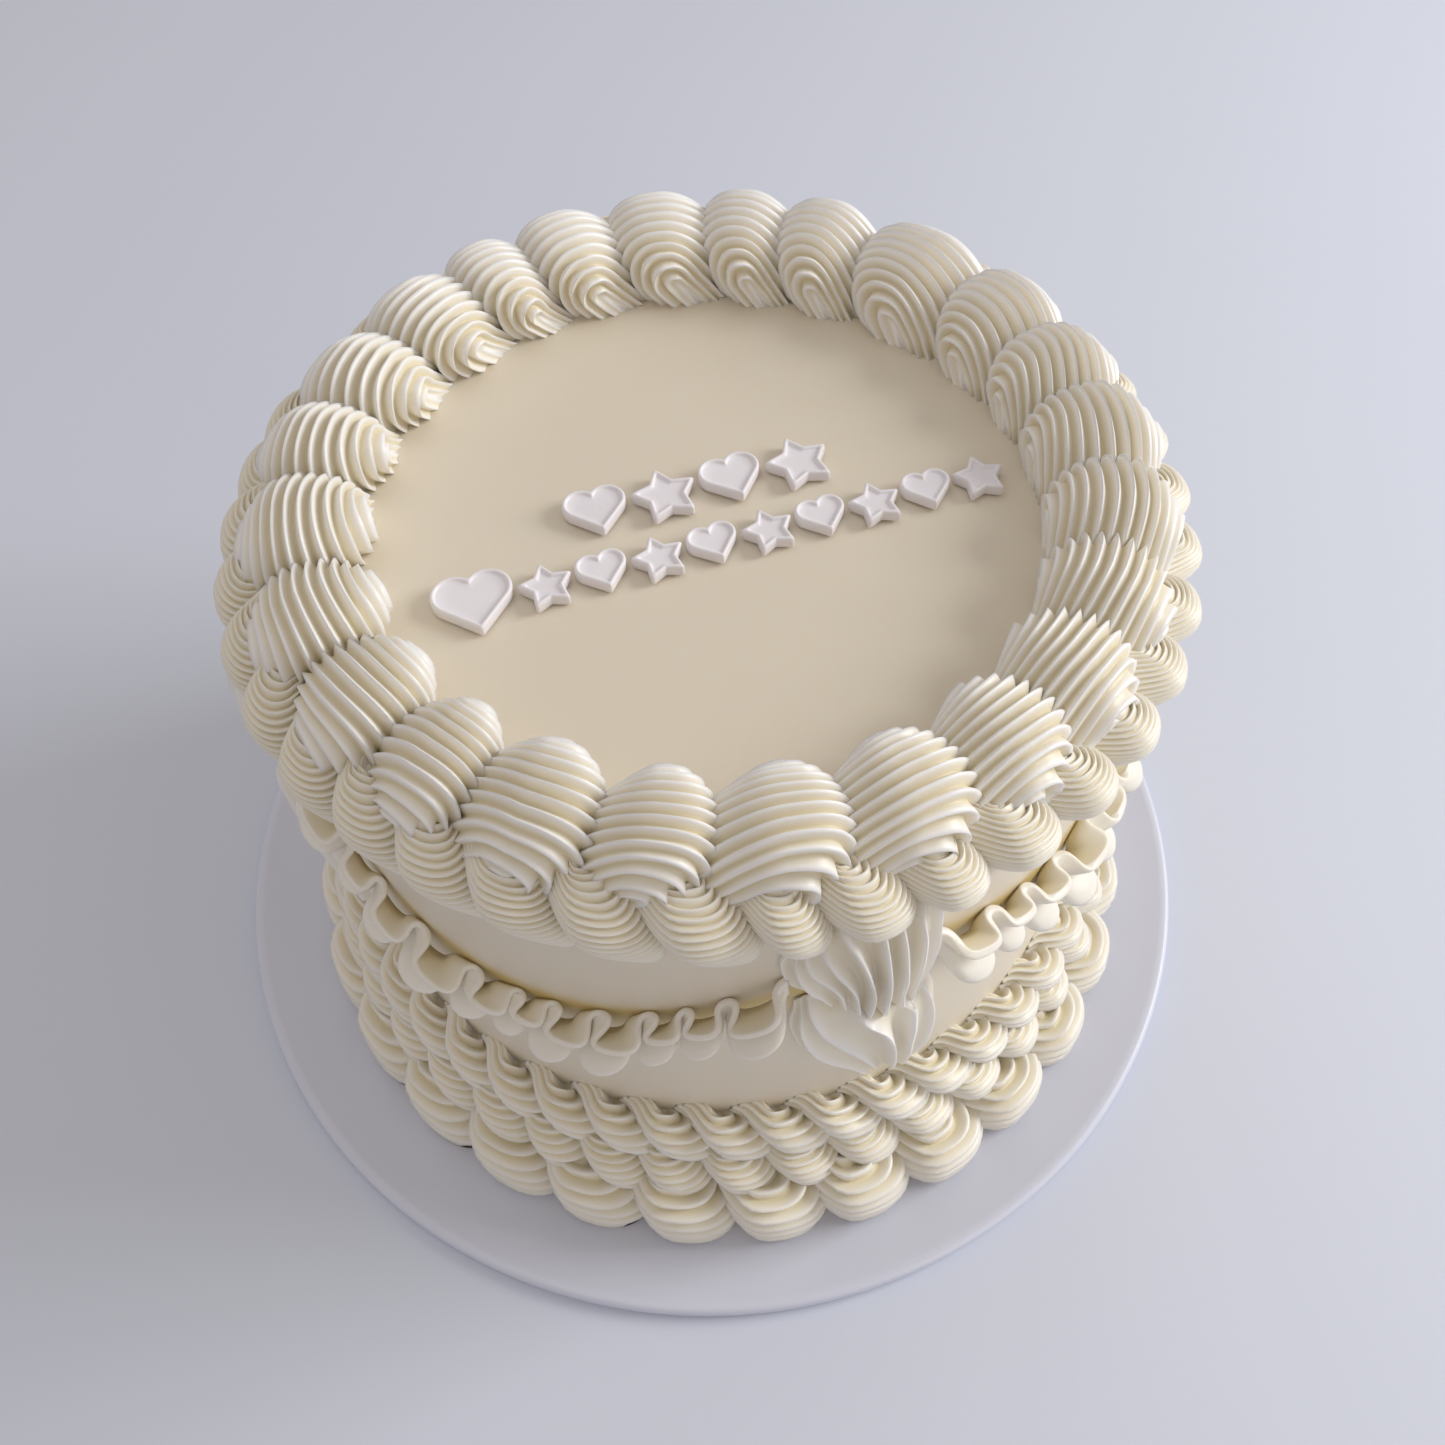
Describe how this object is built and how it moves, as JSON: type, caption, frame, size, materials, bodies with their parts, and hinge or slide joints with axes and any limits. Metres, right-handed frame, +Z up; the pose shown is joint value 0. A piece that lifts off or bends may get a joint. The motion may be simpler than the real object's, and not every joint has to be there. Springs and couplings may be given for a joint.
{
  "type": "gender reveal cake",
  "caption": "Tall round uncut party cake on a round board, iced in ivory buttercream, with piped shell borders, ruffled swags, fluted drops and small fondant hearts and stars on top.",
  "frame": {"origin": "centre of the board's underside, on the table", "axes": "+Z up; the viewer stands on the -Y side and +X is to the viewer's right"},
  "size_m": [0.3048, 0.3048, 0.1906],
  "materials": {
    "smooth_icing": "smooth ivory buttercream, faintly satin",
    "piped_icing": "piped ivory buttercream with a soft satin sheen on its ridges",
    "fondant": "matte white sugar paste",
    "board": "pale lilac white embossed paper on a thick card drum"
  },
  "bodies": {
    "root": {"board": "board", "cake_body": "smooth_icing", "top_shells": "piped_icing", "under_shells": "piped_icing", "foot_row_low": "piped_icing", "foot_row_middle": "piped_icing", "foot_row_high": "piped_icing", "drop_1": "piped_icing", "drop_2": "piped_icing", "drop_3": "piped_icing", "drop_4": "piped_icing", "ruffle_1": "piped_icing", "ruffle_2": "piped_icing", "ruffle_3": "piped_icing", "ruffle_4": "piped_icing", "upper_1_heart": "fondant", "upper_2_star": "fondant", "upper_3_heart": "fondant", "upper_4_star": "fondant", "lower_1_heart": "fondant", "lower_2_star": "fondant", "lower_3_heart": "fondant", "lower_4_star": "fondant", "lower_5_heart": "fondant", "lower_6_star": "fondant", "lower_7_heart": "fondant", "lower_8_star": "fondant", "lower_9_heart": "fondant", "lower_10_star": "fondant"}
  },
  "joints": []
}
